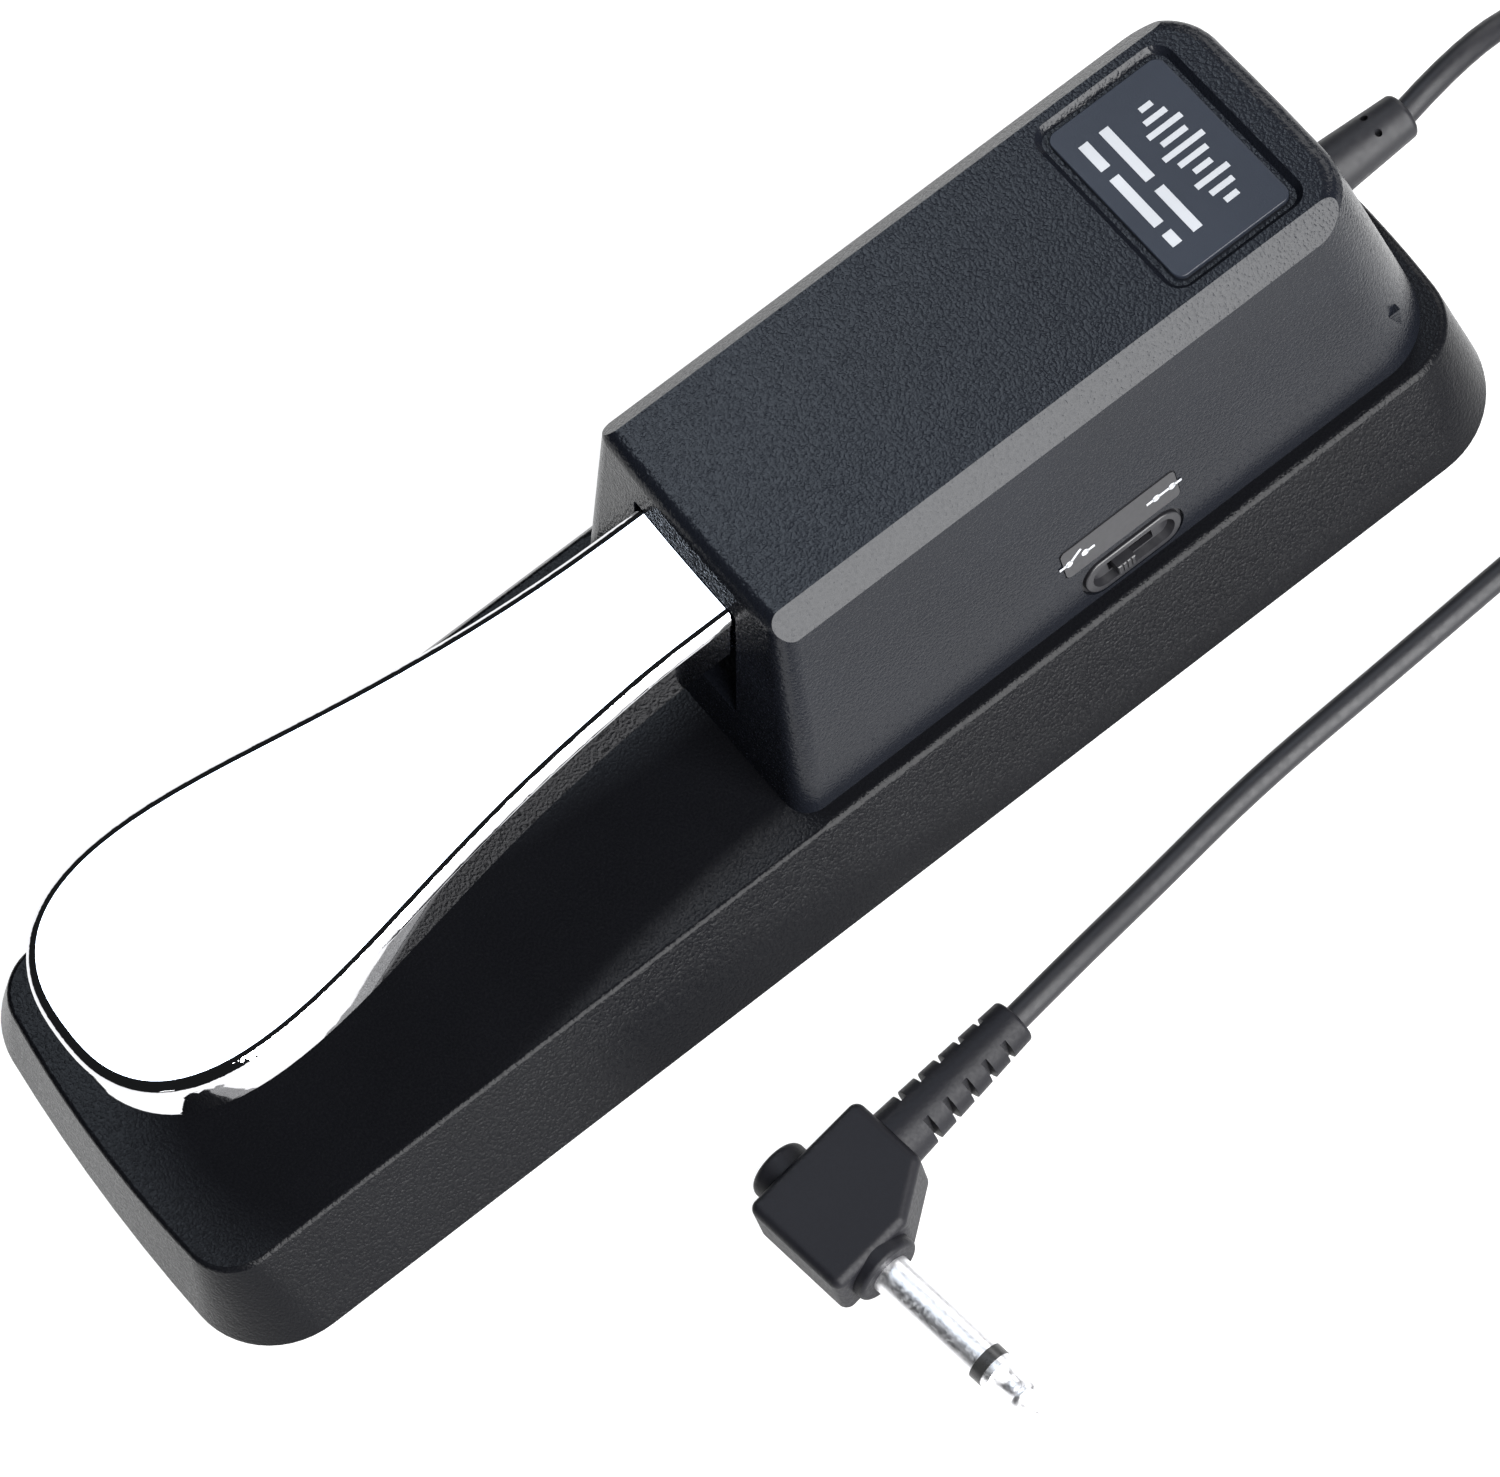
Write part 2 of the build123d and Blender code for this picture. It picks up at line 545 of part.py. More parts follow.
with BuildPart() as switch_leaf:
    with Locations((0, (LEAF_HINGE_Y + PUSHER_Y - 2) / 2, LEAF_TOP - 0.2)):
        Box(4.4, LEAF_HINGE_Y - PUSHER_Y + 2, 0.4)
    with Locations(Plane.YZ):
        with Locations((LEAF_HINGE_Y, LEAF_HINGE_Z)):
            Cylinder(0.5, 6.2)
switch_leaf.part.label = "switch_leaf"
export_step(switch_leaf.part, "parts/switch_leaf.step")

TERMINAL_YS = (39.5, 46.5, 53.5)
with BuildPart() as microswitch_terminals:
    with Locations(*[(0, y, MICRO_BOTTOM) for y in TERMINAL_YS]):
        Box(3.2, 0.5, 5.0, align=(Align.CENTER, Align.CENTER, Align.MAX))
microswitch_terminals.part.label = "microswitch_terminals"
export_step(microswitch_terminals.part, "parts/microswitch_terminals.step")

MOUNT_FACE = MICRO_HALF
MOUNT_SHEET = 1.2
with BuildPart() as microswitch_mount:
    with Locations((MOUNT_FACE + MOUNT_SHEET / 2, 46.5, BRACKET_TOP)):
        Box(MOUNT_SHEET, 20.0, 28.0, align=(Align.CENTER, Align.CENTER, Align.MIN))
    with Locations((MOUNT_FACE, 46.5, BRACKET_TOP)):
        Box(9.0, 20.0, MOUNT_SHEET, align=(Align.MIN, Align.CENTER, Align.MIN))
    with Locations(Plane.YZ):
        with Locations(*MICRO_HOLES):
            Cylinder(1.15, 20, mode=Mode.SUBTRACT)
    with Locations((MOUNT_FACE + 6.0, 46.5, BRACKET_TOP)):
        Cylinder(1.15, 8.0, mode=Mode.SUBTRACT)
microswitch_mount.part.label = "microswitch_mount"
export_step(microswitch_mount.part, "parts/microswitch_mount.step")

# ---------------------------------------------------------------- polarity switch
BOARD_X = 16.0
BOARD_THICKNESS = 1.6
CAN_DEPTH = 5.0
KNOB_REST_Y = SWITCH_Y - SLIDE_TRAVEL / 2
BOARD_SCREWS = [(40.0, 27.5), (84.0, 27.5)]

with BuildPart() as polarity_board:
    with BuildSketch(Plane.YZ.offset(BOARD_X)):
        with Locations((62.0, 24.5)):
            RectangleRounded(54.0, 13.0, 1.0)
        with Locations(*BOARD_SCREWS):
            Circle(1.3, mode=Mode.SUBTRACT)
    extrude(amount=BOARD_THICKNESS)
polarity_board.part.label = "polarity_board"
export_step(polarity_board.part, "parts/polarity_board.step")

CAN_FACE = BOARD_X + BOARD_THICKNESS + CAN_DEPTH
with BuildPart() as slide_switch_can:
    with Locations((CAN_FACE, SWITCH_Y, SWITCH_Z)):
        Box(CAN_DEPTH, 14.0, 6.6, align=(Align.MAX, Align.CENTER, Align.CENTER))
    fillet(slide_switch_can.edges().filter_by(Axis.X), 0.6)
    with Locations((CAN_FACE, SWITCH_Y, SWITCH_Z)):
        Box(
            2.6,
            SLIDE_TRAVEL + 3.9,
            3.0,
            align=(Align.MAX, Align.CENTER, Align.CENTER),
            mode=Mode.SUBTRACT,
        )
slide_switch_can.part.label = "slide_switch_can"
export_step(slide_switch_can.part, "parts/slide_switch_can.step")

with BuildPart() as slide_switch_pins:
    pin_steps = [(dy, dz) for dy in (-4, 0, 4) for dz in (-1.8, 1.8)]
    with Locations(*[(BOARD_X - 1.2, SWITCH_Y + dy, SWITCH_Z + dz) for dy, dz in pin_steps]):
        Box(1.2, 0.7, 0.7, align=(Align.MIN, Align.CENTER, Align.CENTER))
slide_switch_pins.part.label = "slide_switch_pins"
export_step(slide_switch_pins.part, "parts/slide_switch_pins.step")

with BuildPart() as switch_bezel:
    with BuildSketch(wall_plane(SWITCH_Y, SWITCH_Z, -2.0)):
        SlotOverall(18.0, 6.7)
    extrude(amount=2.3)
    fillet(switch_bezel.faces().sort_by(Axis.X)[-1].edges(), 0.3)
    with BuildSketch(wall_plane(SWITCH_Y, SWITCH_Z, -1.95)):
        SlotOverall(19.1, 7.8)
    extrude(amount=1.2)
    with BuildSketch(wall_plane(SWITCH_Y, SWITCH_Z, 0.6)):
        SlotOverall(15.6, 4.9)
    extrude(amount=-1.6, taper=18, mode=Mode.SUBTRACT)
    with BuildSketch(wall_plane(SWITCH_Y, SWITCH_Z, 0.6)):
        Rectangle(SLIDE_TRAVEL + 4.4, 3.3)
    extrude(amount=-4.0, mode=Mode.SUBTRACT)
switch_bezel.part.label = "switch_bezel"
export_step(switch_bezel.part, "parts/switch_bezel.step")

with BuildPart() as polarity_knob:
    with Locations((CAN_FACE - 2.2, KNOB_REST_Y, SWITCH_Z)):
        Box(
            wall_x(SWITCH_Z) + 3.5 - CAN_FACE,
            3.3,
            2.5,
            align=(Align.MIN, Align.CENTER, Align.CENTER),
        )
    fillet(polarity_knob.faces().sort_by(Axis.X)[-1].edges(), 0.3)
    knob_face = wall_x(SWITCH_Z) + 1.35
    with Locations(*[(knob_face, KNOB_REST_Y + dy, SWITCH_Z) for dy in (-0.8, 0, 0.8)]):
        Box(0.6, 0.35, 4.0, mode=Mode.SUBTRACT)
polarity_knob.part.label = "polarity_knob"
export_step(polarity_knob.part, "parts/polarity_knob.step")

# ---------------------------------------------------------------- fasteners
with BuildPart() as plate_screws:
    with Locations(*[(x, y, PLATE_BOTTOM + 0.1) for x, y in PLATE_SCREWS]):
        Cone(2.9, 1.25, 1.7, align=(Align.CENTER, Align.CENTER, Align.MIN))
        Cylinder(1.2, 10.0, align=(Align.CENTER, Align.CENTER, Align.MIN))
    with Locations(*[(x, y, PLATE_BOTTOM + 0.1) for x, y in PLATE_SCREWS]):
        Box(3.0, 0.6, 1.0, mode=Mode.SUBTRACT)
        Box(0.6, 3.0, 1.0, mode=Mode.SUBTRACT)
plate_screws.part.label = "plate_screws"
export_step(plate_screws.part, "parts/plate_screws.step")

with BuildPart() as housing_screws:
    with Locations(*[(x, y, DECK_UNDERSIDE) for x, y in HOUSING_SCREWS]):
        Cylinder(2.8, 2.0, align=(Align.CENTER, Align.CENTER, Align.MAX))
        Cylinder(1.2, 13.0, align=(Align.CENTER, Align.CENTER, Align.MIN))
    fillet(housing_screws.edges().group_by(Axis.Z)[0], 0.7)
    with Locations(*[(x, y, DECK_UNDERSIDE - 2.0) for x, y in HOUSING_SCREWS]):
        Box(3.0, 0.6, 1.6, mode=Mode.SUBTRACT)
        Box(0.6, 3.0, 1.6, mode=Mode.SUBTRACT)
housing_screws.part.label = "housing_screws"
export_step(housing_screws.part, "parts/housing_screws.step")

with BuildPart() as bracket_screws:
    with Locations(*[(x, y, BRACKET_TOP) for y in (20.0, 90.0) for x in (-20.0, 20.0)]):
        Cylinder(2.8, 2.0, align=(Align.CENTER, Align.CENTER, Align.MIN))
        Cylinder(1.25, 3.8, align=(Align.CENTER, Align.CENTER, Align.MAX))
    fillet(bracket_screws.edges().group_by(Axis.Z)[-1], 0.7)
bracket_screws.part.label = "bracket_screws"
export_step(bracket_screws.part, "parts/bracket_screws.step")

with BuildPart() as microswitch_screws:
    for y, z in MICRO_HOLES:
        with Locations(Plane.YZ.offset(-MICRO_HALF)):
            with Locations((y, z)):
                Cylinder(1.9, 1.3, align=(Align.CENTER, Align.CENTER, Align.MAX))
                Cylinder(1.0, 9.6, align=(Align.CENTER, Align.CENTER, Align.MIN))
microswitch_screws.part.label = "microswitch_screws"
export_step(microswitch_screws.part, "parts/microswitch_screws.step")

with BuildPart() as microswitch_nuts:
    with BuildSketch(Plane.YZ.offset(MOUNT_FACE + MOUNT_SHEET)):
        with Locations(*MICRO_HOLES):
            RegularPolygon(2.0, 6)
            Circle(1.02, mode=Mode.SUBTRACT)
    extrude(amount=1.5)
microswitch_nuts.part.label = "microswitch_nuts"
export_step(microswitch_nuts.part, "parts/microswitch_nuts.step")

with BuildPart() as mount_screw:
    with Locations((MOUNT_FACE + 6.0, 46.5, BRACKET_TOP + MOUNT_SHEET)):
        Cylinder(2.0, 1.4, align=(Align.CENTER, Align.CENTER, Align.MIN))
        Cylinder(1.1, 1.1, align=(Align.CENTER, Align.CENTER, Align.MAX))
mount_screw.part.label = "mount_screw"
export_step(mount_screw.part, "parts/mount_screw.step")

BOARD_FACE = BOARD_X + BOARD_THICKNESS
with BuildPart() as board_standoffs:
    for y, z in BOARD_SCREWS:
        with BuildSketch(Plane.YZ.offset(BOARD_FACE)):
            with Locations((y, z)):
                Circle(2.6)
                Circle(1.1, mode=Mode.SUBTRACT)
        extrude(amount=wall_x(30.0) - WALL - 0.5 - BOARD_FACE)
board_standoffs.part.label = "board_standoffs"
export_step(board_standoffs.part, "parts/board_standoffs.step")

with BuildPart() as board_screws:
    for y, z in BOARD_SCREWS:
        with Locations(Plane.YZ.offset(BOARD_X)):
            with Locations((y, z)):
                Cylinder(2.0, 1.2, align=(Align.CENTER, Align.CENTER, Align.MAX))
                Cylinder(1.05, 5.0, align=(Align.CENTER, Align.CENTER, Align.MIN))
board_screws.part.label = "board_screws"
export_step(board_screws.part, "parts/board_screws.step")

# ---------------------------------------------------------------- strain relief
RELIEF_START = 104.0
with BuildPart() as strain_relief:
    with BuildSketch(Plane.XY.offset(RELIEF_Z)):
        with BuildLine():
            Polyline(
                (0, RELIEF_START),
                (6.2, RELIEF_START),
                (6.2, RELIEF_START + 1.8),
                (4.7, RELIEF_START + 1.8),
                (4.7, FOOT_REAR - 2.0),
                (3.8, RELIEF_END),
                (0, RELIEF_END),
                close=True,
            )
        make_face()
    revolve(axis=Axis((0, 0, RELIEF_Z), (0, 1, 0)))
    fillet(strain_relief.edges().group_by(Axis.Y)[-1], 0.9)
    with Locations(*[(x, RELIEF_END - 6.2, RELIEF_Z + 3.6) for x in (-1.7, 1.7)]):
        Cylinder(0.6, 2.6, mode=Mode.SUBTRACT)
strain_relief.part.label = "strain_relief"
export_step(strain_relief.part, "parts/strain_relief.step")

# ---------------------------------------------------------------- cord
plug_plane = Plane(
    origin=PLUG_ORIGIN,
    x_dir=(math.cos(math.radians(PLUG_TURN)), math.sin(math.radians(PLUG_TURN)), 0),
    z_dir=(0, 0, 1),
)
boot_mouth = plug_plane.from_local_coords(Vector(0, BOOT_END, 0))
FLOOR_CORD = CORD_DIAMETER / 2

OUT_ROUTE = [
    (0.0, RELIEF_END, RELIEF_Z),
    (-2.2, 146.0, 28.3),
    (-4.4, 163.0, 19.0),
    (-0.4, 181.0, 4.6),
]
BACK_ROUTE = [
    (58.8, 182.0, 5.8),
    (58.4, 163.0, 3.4),
    (58.2, 137.0, FLOOR_CORD),
    (59.0, 108.0, FLOOR_CORD),
    (60.6, 78.0, FLOOR_CORD),
    (61.8, 50.0, FLOOR_CORD),
    (64.9, 27.0, FLOOR_CORD + 0.3),
    (67.4, 12.0, 4.9),
    (boot_mouth.X, boot_mouth.Y, boot_mouth.Z),
]


def route_radii(route):
    """The largest sensible arc at each inner point of a cord's route."""
    radii = []
    for before, here, after in zip(route, route[1:], route[2:]):
        run_in = Vector(*here) - Vector(*before)
        run_out = Vector(*after) - Vector(*here)
        half_turn = math.radians(run_in.get_angle(run_out)) / 2
        shorter = min(run_in.length, run_out.length)
        radii.append(0.45 * shorter / math.tan(half_turn))
    return radii


def print_route(name, route, solid, path):
    """Radii of the bends, and the tube's volume against section times length."""
    print(name, "radii", [round(r) for r in route_radii(route)], "length", round(path.length, 1))
    print(name, "volume ratio", round(solid.volume / (math.pi * FLOOR_CORD**2 * path.length), 4))


with BuildPart() as cord_out:
    with BuildLine() as out_path:
        FilletPolyline(*OUT_ROUTE, radius=route_radii(OUT_ROUTE))
    with BuildSketch(Plane(origin=out_path.line @ 0, z_dir=out_path.line % 0)):
        Circle(CORD_DIAMETER / 2)
    sweep()
cord_out.part.label = "cord_out"
export_step(cord_out.part, "parts/cord_out.step")
print_route("cord_out", OUT_ROUTE, cord_out.part, out_path.wire())

with BuildPart() as cord_back:
    with BuildLine() as back_path:
        FilletPolyline(*BACK_ROUTE, radius=route_radii(BACK_ROUTE))
    with BuildSketch(Plane(origin=back_path.line @ 0, z_dir=back_path.line % 0)):
        Circle(CORD_DIAMETER / 2)
    sweep()
cord_back.part.label = "cord_back"
export_step(cord_back.part, "parts/cord_back.step")
print_route("cord_back", BACK_ROUTE, cord_back.part, back_path.wire())

with BuildPart() as cord_coil:
    with BuildSketch():
        with Locations(COIL_CENTRE):
            Circle(COIL_RADIUS + COIL_BAND / 2)
            Circle(COIL_RADIUS - COIL_BAND / 2, mode=Mode.SUBTRACT)
    extrude(amount=COIL_HEIGHT)
    fillet(cord_coil.edges(), 3.0)
cord_coil.part.label = "cord_coil"
export_step(cord_coil.part, "parts/cord_coil.step")

with BuildPart() as cord_tie:
    with BuildSketch(Plane.YZ.offset(COIL_CENTRE[0] - 3.0)):
        with Locations((COIL_CENTRE[1] + COIL_RADIUS, COIL_HEIGHT / 2 + 0.4)):
            RectangleRounded(COIL_BAND + 1.8, COIL_HEIGHT + 0.8, 3.4)
            RectangleRounded(COIL_BAND + 0.2, COIL_HEIGHT - 0.8, 2.8, mode=Mode.SUBTRACT)
    extrude(amount=6.0)
cord_tie.part.label = "cord_tie"
export_step(cord_tie.part, "parts/cord_tie.step")

# ---------------------------------------------------------------- plug
BODY_FRONT = 11.7
BODY_TAIL = 14.7
BODY_BACK = -7.0
BODY_FOOT = -7.9
BODY_HALF = 6.0
COLLAR_END = 13.6
SLEEVE_END = 32.8
RING_END = 34.8

with BuildPart() as plug_body:
    with BuildSketch(plug_plane.offset(-BODY_HALF)) as body_outline:
        with BuildLine():
            Polyline(
                (BODY_BACK, BODY_FOOT),
                (BODY_FRONT, BODY_FOOT),
                (BODY_FRONT, 6.2),
                (6.4, BODY_TAIL),
                (BODY_BACK, BODY_TAIL),
                close=True,
            )
        make_face()
        fillet(body_outline.vertices(), 1.6)
    extrude(amount=2 * BODY_HALF)
    fillet(plug_body.faces().group_by(Axis.Z)[-1].edges(), 1.5)
    fillet(plug_body.faces().group_by(Axis.Z)[0].edges(), 1.5)
    collar_start = plug_plane.from_local_coords((BODY_FRONT - 1, 0, 0))
    with BuildSketch(Plane(origin=collar_start, z_dir=plug_plane.x_dir)):
        Circle(5.6)
    extrude(amount=COLLAR_END - BODY_FRONT + 1)
    fillet(plug_body.edges().filter_by(GeomType.CIRCLE).sort_by(Axis.X)[-1], 0.7)
    collar_end = plug_plane.from_local_coords((COLLAR_END, 0, 0))
    with BuildSketch(Plane(origin=collar_end, z_dir=-plug_plane.x_dir)):
        Circle(2.6)
    extrude(amount=10.0, mode=Mode.SUBTRACT)
plug_body.part.label = "plug_body"
export_step(plug_body.part, "parts/plug_body.step")

with BuildPart() as plug_cap:
    cap_seat = plug_plane.from_local_coords((BODY_BACK, 0, 0))
    with BuildSketch(Plane(origin=cap_seat, z_dir=-plug_plane.x_dir)):
        Circle(4.9)
    extrude(amount=3.6)
    fillet(plug_cap.edges().filter_by(GeomType.CIRCLE).sort_by(Axis.X)[0], 1.4)
plug_cap.part.label = "plug_cap"
export_step(plug_cap.part, "parts/plug_cap.step")

BOOT_COLLAR = 19.6
with BuildPart() as plug_boot:
    boot_root = plug_plane.from_local_coords((0, BODY_TAIL, 0))
    with BuildSketch(Plane(origin=boot_root, z_dir=plug_plane.y_dir)):
        Circle(4.9)
    with BuildSketch(Plane(origin=boot_mouth, z_dir=plug_plane.y_dir)):
        Circle(3.7)
    loft()
    fillet(plug_boot.edges().sort_by(Axis.Y)[-1], 0.6)
    # slots that leave ribs joined along the middle
    for step in range(5):
        slot_y = BOOT_COLLAR + 4.0 * step
        for side in (-1, 1):
            with Locations(plug_plane):
                with Locations((side * 5.0, slot_y, 0)):
                    Box(5.6, 1.1, 12.0, mode=Mode.SUBTRACT)
plug_boot.part.label = "plug_boot"
export_step(plug_boot.part, "parts/plug_boot.step")

barrel_axis = Axis(PLUG_ORIGIN, plug_plane.x_dir)

with BuildPart() as plug_sleeve:
    with BuildSketch(plug_plane):
        with BuildLine():
            Polyline(
                (COLLAR_END - 9.0, 1.4),
                (COLLAR_END - 9.0, 2.55),
                (COLLAR_END + 0.02, 2.55),
                (COLLAR_END + 0.02, PLUG_RADIUS),
                (SLEEVE_END, PLUG_RADIUS),
                (SLEEVE_END, 1.4),
                close=True,
            )
        make_face()
    revolve(axis=barrel_axis)
plug_sleeve.part.label = "plug_sleeve"
export_step(plug_sleeve.part, "parts/plug_sleeve.step")

with BuildPart() as plug_insulator:
    with BuildSketch(plug_plane):
        with BuildLine():
            Polyline(
                (COLLAR_END - 9.0, 0.9),
                (COLLAR_END - 9.0, 1.38),
                (SLEEVE_END + 0.01, 1.38),
                (SLEEVE_END + 0.01, PLUG_RADIUS - 0.05),
                (RING_END, PLUG_RADIUS - 0.05),
                (RING_END, 0.9),
                close=True,
            )
        make_face()
    revolve(axis=barrel_axis)
plug_insulator.part.label = "plug_insulator"
export_step(plug_insulator.part, "parts/plug_insulator.step")

with BuildPart() as plug_tip:
    with BuildSketch(plug_plane):
        with BuildLine():
            Polyline(
                (COLLAR_END - 9.0, 0),
                (COLLAR_END - 9.0, 0.88),
                (RING_END + 0.01, 0.88),
                (RING_END + 0.01, 3.0),
                (RING_END + 1.1, 3.0),
            )
            Spline(
                (RING_END + 1.1, 3.0),
                (RING_END + 2.8, 1.95),
                (RING_END + 4.4, 1.95),
                (RING_END + 5.6, 2.72),
            )
            Spline((RING_END + 5.6, 2.72), (RING_END + 6.3, 2.72), (RING_END + 6.9, 2.4))
            Line((RING_END + 6.9, 2.4), (RING_END + 9.6, 0.5))
            Line((RING_END + 9.6, 0.5), (RING_END + 9.8, 0))
            Line((RING_END + 9.8, 0), (COLLAR_END - 9.0, 0))
        make_face()
    revolve(axis=barrel_axis)
plug_tip.part.label = "plug_tip"
export_step(plug_tip.part, "parts/plug_tip.step")

# ---------------------------------------------------------------- wires inside the housing
WIRE_RADIUS = 0.6
WIRES = {
    "wire_contact_a": [
        (0, 53.5, 20.9),
        (0, 59.0, 14.0),
        (3.0, 74.0, 11.0),
        (9.0, 79.0, 19.0),
        (BOARD_X - 0.3, 79.0, 20.5),
    ],
    "wire_contact_b": [
        (0, 46.5, 20.9),
        (-1.0, 50.0, 13.0),
        (1.0, 78.0, 8.5),
        (8.0, 84.0, 19.0),
        (BOARD_X - 0.3, 83.0, 20.5),
    ],
    "wire_cord_signal": [
        (1.8, RELIEF_START - 0.3, 28.0),
        (2.5, 97.0, 27.0),
        (8.0, 89.0, 26.0),
        (BOARD_X - 0.5, 79.0, 25.0),
    ],
    "wire_cord_ground": [
        (-1.8, RELIEF_START - 0.3, 25.5),
        (0.0, 95.0, 23.0),
        (8.0, 89.0, 22.0),
        (BOARD_X - 0.3, 86.5, 22.0),
    ],
}
for wire_name, wire_route in WIRES.items():
    with BuildPart() as wire:
        with BuildLine() as wire_path:
            FilletPolyline(*wire_route, radius=[min(r, 9.0) for r in route_radii(wire_route)])
        with BuildSketch(Plane(origin=wire_path.line @ 0, z_dir=wire_path.line % 0)):
            Circle(WIRE_RADIUS)
        sweep()
    wire.part.label = wire_name
    export_step(wire.part, f"parts/{wire_name}.step")
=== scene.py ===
import json
import math

import bmesh
import bpy
from mathutils import Matrix, Vector


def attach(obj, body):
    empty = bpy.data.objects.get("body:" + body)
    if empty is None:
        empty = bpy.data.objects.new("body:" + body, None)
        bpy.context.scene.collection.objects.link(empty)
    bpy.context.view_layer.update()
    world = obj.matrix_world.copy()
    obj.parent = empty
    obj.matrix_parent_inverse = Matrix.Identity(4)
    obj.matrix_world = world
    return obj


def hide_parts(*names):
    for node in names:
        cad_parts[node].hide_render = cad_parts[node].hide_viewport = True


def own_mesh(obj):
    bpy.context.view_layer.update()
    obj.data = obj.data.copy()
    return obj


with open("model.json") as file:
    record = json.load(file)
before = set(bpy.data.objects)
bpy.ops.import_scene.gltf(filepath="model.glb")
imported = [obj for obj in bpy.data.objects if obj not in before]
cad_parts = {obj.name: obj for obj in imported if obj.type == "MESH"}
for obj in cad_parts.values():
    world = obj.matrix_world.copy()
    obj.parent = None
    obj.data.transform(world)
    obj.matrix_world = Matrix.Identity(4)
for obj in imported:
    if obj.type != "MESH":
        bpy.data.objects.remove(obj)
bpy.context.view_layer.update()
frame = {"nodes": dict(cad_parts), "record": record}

scene = bpy.context.scene
scene.view_settings.view_transform = "Standard"
scene.view_settings.look = "None"

MM = 0.001

# ------------------------------------------------------------------ camera
CAMERA_AZIMUTH = math.radians(72.839)
CAMERA_ELEVATION = math.radians(65.049)
CAMERA_ROLL = math.radians(-21.582)
CAMERA_DISTANCE = 0.732555
CAMERA_AIM = Vector((0.018499, -0.007543, 0.0300))
CAMERA_LENS = 120.0  # on a sensor 36 mm wide

forward = Vector((
    -math.sin(CAMERA_AZIMUTH) * math.cos(CAMERA_ELEVATION),
    math.cos(CAMERA_AZIMUTH) * math.cos(CAMERA_ELEVATION),
    -math.sin(CAMERA_ELEVATION),
))
level_right = Vector((math.cos(CAMERA_AZIMUTH), math.sin(CAMERA_AZIMUTH), 0.0))
level_up = level_right.cross(forward)
camera_right = level_right * math.cos(CAMERA_ROLL) + level_up * math.sin(CAMERA_ROLL)
camera_up = level_up * math.cos(CAMERA_ROLL) - level_right * math.sin(CAMERA_ROLL)

camera_data = bpy.data.cameras.new("camera")
camera_data.sensor_width = 36.0
camera_data.lens = CAMERA_LENS
camera_data.clip_start = 0.05
camera_data.clip_end = 20.0
camera = bpy.data.objects.new("camera", camera_data)
scene.collection.objects.link(camera)
turn = Matrix((camera_right, camera_up, -forward)).transposed()
camera.matrix_world = Matrix.Translation(CAMERA_AIM - forward * CAMERA_DISTANCE) @ turn.to_4x4()
scene.camera = camera

# ------------------------------------------------------------------ lead
CORD_DIAMETER = 0.0042
COIL_CENTRE = Vector((0.0295, 0.190, 0.0))
COIL_TURNS = 10.5
# the coil's cross-section is a stack of cells, column 1 the innermost and row 1 the lowest,
# and the lead moves to the next cell each time it has gone most of the way round
COIL_CELLS = [
    (4, 1), (3, 1), (2, 1), (1, 1), (1, 2), (1, 3), (2, 3), (2, 2), (3, 2), (3, 3), (4, 3), (4, 2),
]
CELL_TURNS = 0.875
SHIFT_TURNS = 0.125
COIL_STEPS = 16  # control points in one turn
COLUMN_RADII = (0.01660, 0.02087, 0.02513, 0.02940)
ROW_HEIGHTS = (0.0021, 0.0064, 0.0107)
NURBS_SHRINK = math.cos(math.pi / COIL_STEPS)

OUT_ROUTE = [
    (0.0, 0.1315, 0.0265),
    (-0.0022, 0.1460, 0.0283),
    (-0.0044, 0.1630, 0.0190),
    (-0.0004, 0.1810, 0.0046),
]
BACK_ROUTE = [
    (0.0588, 0.1820, 0.0058),
    (0.0584, 0.1630, 0.0034),
    (0.0582, 0.1370, 0.0021),
    (0.0590, 0.1080, 0.0021),
    (0.0606, 0.0780, 0.0021),
    (0.0618, 0.0500, 0.0021),
    (0.0649, 0.0270, 0.0024),
    (0.0674, 0.0120, 0.0049),
    (0.06964, -0.00136, 0.0062),
]


def coil_points():
    """The coil's control points, from its west side clockwise to its east side."""
    points = []
    for i in range(int(COIL_TURNS * COIL_STEPS) + 1):
        turns = i / COIL_STEPS
        cell = min(int(turns / CELL_TURNS), len(COIL_CELLS) - 1)
        into = turns - cell * CELL_TURNS - (CELL_TURNS - SHIFT_TURNS)
        share = min(max(into / SHIFT_TURNS, 0.0), 1.0)
        here = COIL_CELLS[cell]
        there = COIL_CELLS[min(cell + 1, len(COIL_CELLS) - 1)]
        radius = COLUMN_RADII[here[0] - 1] * (1 - share) + COLUMN_RADII[there[0] - 1] * share
        height = ROW_HEIGHTS[here[1] - 1] * (1 - share) + ROW_HEIGHTS[there[1] - 1] * share
        angle = math.pi - turns * 2 * math.pi
        points.append((
            COIL_CENTRE.x + radius / NURBS_SHRINK * math.cos(angle),
            COIL_CENTRE.y + radius / NURBS_SHRINK * math.sin(angle),
            height,
        ))
    return points


def tube(name, points, diameter):
    """A smooth round cord along a NURBS line with these control points."""
    curve = bpy.data.curves.new(name, "CURVE")
    curve.dimensions = "3D"
    spline = curve.splines.new("NURBS")
    spline.points.add(len(points) - 1)
    for slot, place in zip(spline.points, points):
        slot.co = (*place, 1.0)
        slot.radius = diameter / 2
    spline.order_u = 3
    spline.use_endpoint_u = True
    spline.resolution_u = 6
    curve.resolution_u = 6
    curve.bevel_depth = 1.0  # times each point's radius
    curve.bevel_resolution = 6
    curve.use_fill_caps = True
    piece = bpy.data.objects.new(name, curve)
    scene.collection.objects.link(piece)
    return piece


lead = tube("lead", OUT_ROUTE + coil_points() + BACK_ROUTE, CORD_DIAMETER)
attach(lead, "base")
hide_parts("cord_out", "cord_back", "cord_coil")


